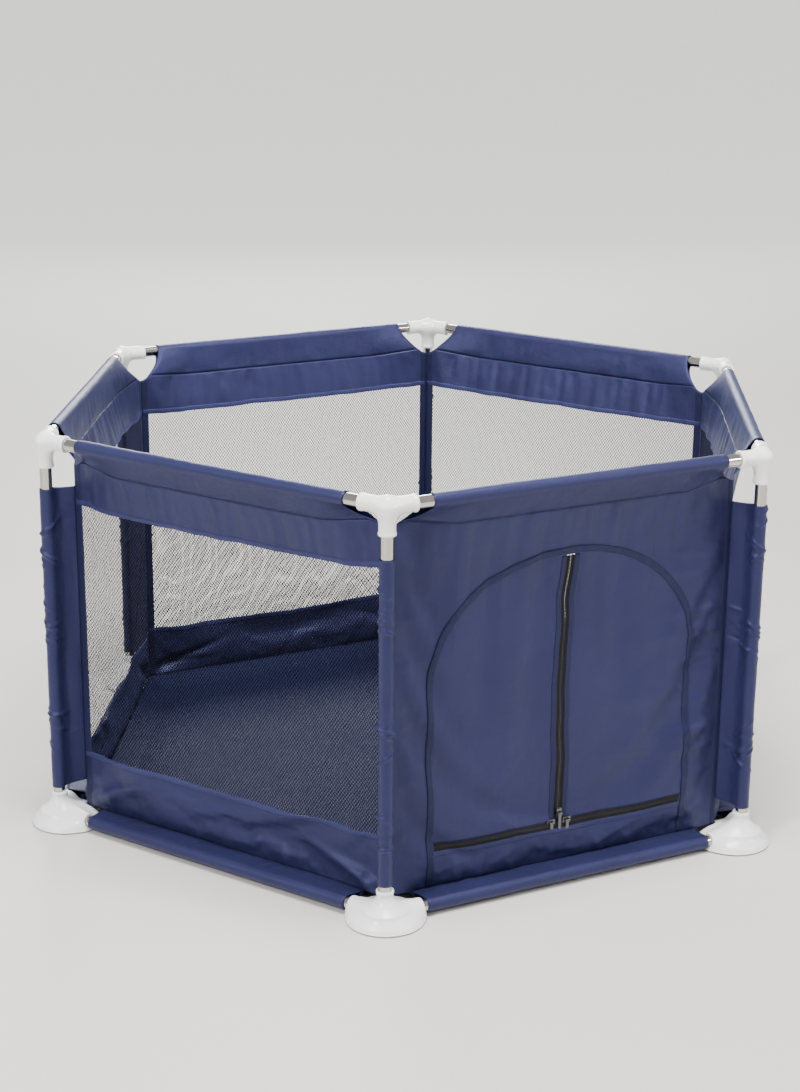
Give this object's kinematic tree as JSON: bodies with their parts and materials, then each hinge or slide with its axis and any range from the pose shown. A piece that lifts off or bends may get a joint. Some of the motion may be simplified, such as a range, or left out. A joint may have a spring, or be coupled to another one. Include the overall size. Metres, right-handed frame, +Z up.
{
  "type": "travel play yard",
  "caption": "Hexagonal knock-down play yard: plastic corner fittings, steel tubes and a sewn cover with mesh windows, a floor and a zipped arched door.",
  "frame": {"origin": "on the floor, at the centre of the hexagon", "axes": "+Z up; corner 0 points to -Y, so the corner-to-corner width lies along Y; the door wall faces +X and -Y, between corners 0 and 1"},
  "size_m": [1.2042, 1.372, 0.6593],
  "materials": {
    "connector": "smooth moulded white plastic, glossy",
    "foot": "smooth moulded white plastic, slightly translucent at the thin rim",
    "tube": "polished stainless tube",
    "cover_cloth": "plain-weave coated polyester, navy, slight sheen",
    "floor_cloth": "plain-weave coated polyester, darker navy, matte",
    "window_net": "open diamond net of fine dark yarn",
    "zip_tape": "black woven tape with nylon coil",
    "zip_metal": "plated die-cast metal",
    "foot_pad": "soft non-slip rubber, matte"
  },
  "bodies": {
    "yard": {"top_connector_0": "connector", "top_connector_1": "connector", "top_connector_2": "connector", "top_connector_3": "connector", "top_connector_4": "connector", "top_connector_5": "connector", "foot_0": "foot", "foot_1": "foot", "foot_2": "foot", "foot_3": "foot", "foot_4": "foot", "foot_5": "foot", "post_tube_0": "tube", "post_tube_1": "tube", "post_tube_2": "tube", "post_tube_3": "tube", "post_tube_4": "tube", "post_tube_5": "tube", "top_rail_0": "tube", "top_rail_1": "tube", "top_rail_2": "tube", "top_rail_3": "tube", "top_rail_4": "tube", "top_rail_5": "tube", "bottom_rail_0": "tube", "bottom_rail_1": "tube", "bottom_rail_2": "tube", "bottom_rail_3": "tube", "bottom_rail_4": "tube", "bottom_rail_5": "tube", "window_wall_1": "cover_cloth", "window_wall_2": "cover_cloth", "window_wall_3": "cover_cloth", "window_wall_4": "cover_cloth", "window_wall_5": "cover_cloth", "top_sleeves": "cover_cloth", "post_sleeves": "cover_cloth", "bottom_sleeves": "cover_cloth", "door_wall": "cover_cloth", "arch_binding": "cover_cloth", "floor_cloth": "floor_cloth", "mesh_window_1": "window_net", "mesh_window_2": "window_net", "mesh_window_3": "window_net", "mesh_window_4": "window_net", "mesh_window_5": "window_net", "zip_tape_sill": "zip_tape", "foot_pads": "foot_pad"},
    "leaf_left": {"door_leaf_left": "cover_cloth", "zip_tape_left": "zip_tape"},
    "leaf_right": {"door_leaf_right": "cover_cloth", "zip_tape_right": "zip_tape"},
    "slider_centre": {"zip_slider_centre": "zip_metal"},
    "pull_centre": {"zip_pull_centre": "zip_metal"},
    "slider_left": {"zip_slider_left": "zip_metal"},
    "pull_left": {"zip_pull_left": "zip_metal"},
    "slider_right": {"zip_slider_right": "zip_metal"},
    "pull_right": {"zip_pull_right": "zip_metal"}
  },
  "joints": [
    {"name": "leaf_left_fold", "type": "hinge", "parent": "yard", "child": "leaf_left", "pos_m": [0.07153, -0.5539, 0.087], "axis": [-0.3679, -0.2124, -0.9053], "range_deg": [0, 150]},
    {"name": "leaf_right_fold", "type": "hinge", "parent": "yard", "child": "leaf_right", "pos_m": [0.44392, -0.3389, 0.087], "axis": [-0.3679, -0.2124, 0.9053], "range_deg": [0, 150]},
    {"name": "centre_zip_slide", "type": "slide", "parent": "yard", "child": "slider_centre", "axis": [0, 0, 1], "range_m": [0, 0.415]},
    {"name": "left_zip_slide", "type": "slide", "parent": "yard", "child": "slider_left", "axis": [-0.866, -0.5, 0], "range_m": [0, 0.185]},
    {"name": "right_zip_slide", "type": "slide", "parent": "yard", "child": "slider_right", "axis": [0.866, 0.5, 0], "range_m": [0, 0.185]},
    {"name": "centre_pull_swing", "type": "hinge", "parent": "slider_centre", "child": "pull_centre", "pos_m": [0.25948, -0.44943, 0.101], "axis": [-0.866, -0.5, 0], "range_deg": [0, 120]},
    {"name": "left_pull_swing", "type": "hinge", "parent": "slider_left", "child": "pull_left", "pos_m": [0.24735, -0.45643, 0.087], "axis": [-0.866, -0.5, 0], "range_deg": [0, 120]},
    {"name": "right_pull_swing", "type": "hinge", "parent": "slider_right", "child": "pull_right", "pos_m": [0.2716, -0.44243, 0.087], "axis": [-0.866, -0.5, 0], "range_deg": [0, 120]}
  ],
  "couplings": [
    {"joint": "leaf_right_fold", "follows": "leaf_left_fold", "ratio": 1},
    {"joint": "centre_zip_slide", "follows": "leaf_left_fold", "m_per_rad": 0.15852},
    {"joint": "left_zip_slide", "follows": "leaf_left_fold", "m_per_rad": 0.070664},
    {"joint": "right_zip_slide", "follows": "leaf_left_fold", "m_per_rad": 0.070664}
  ]
}
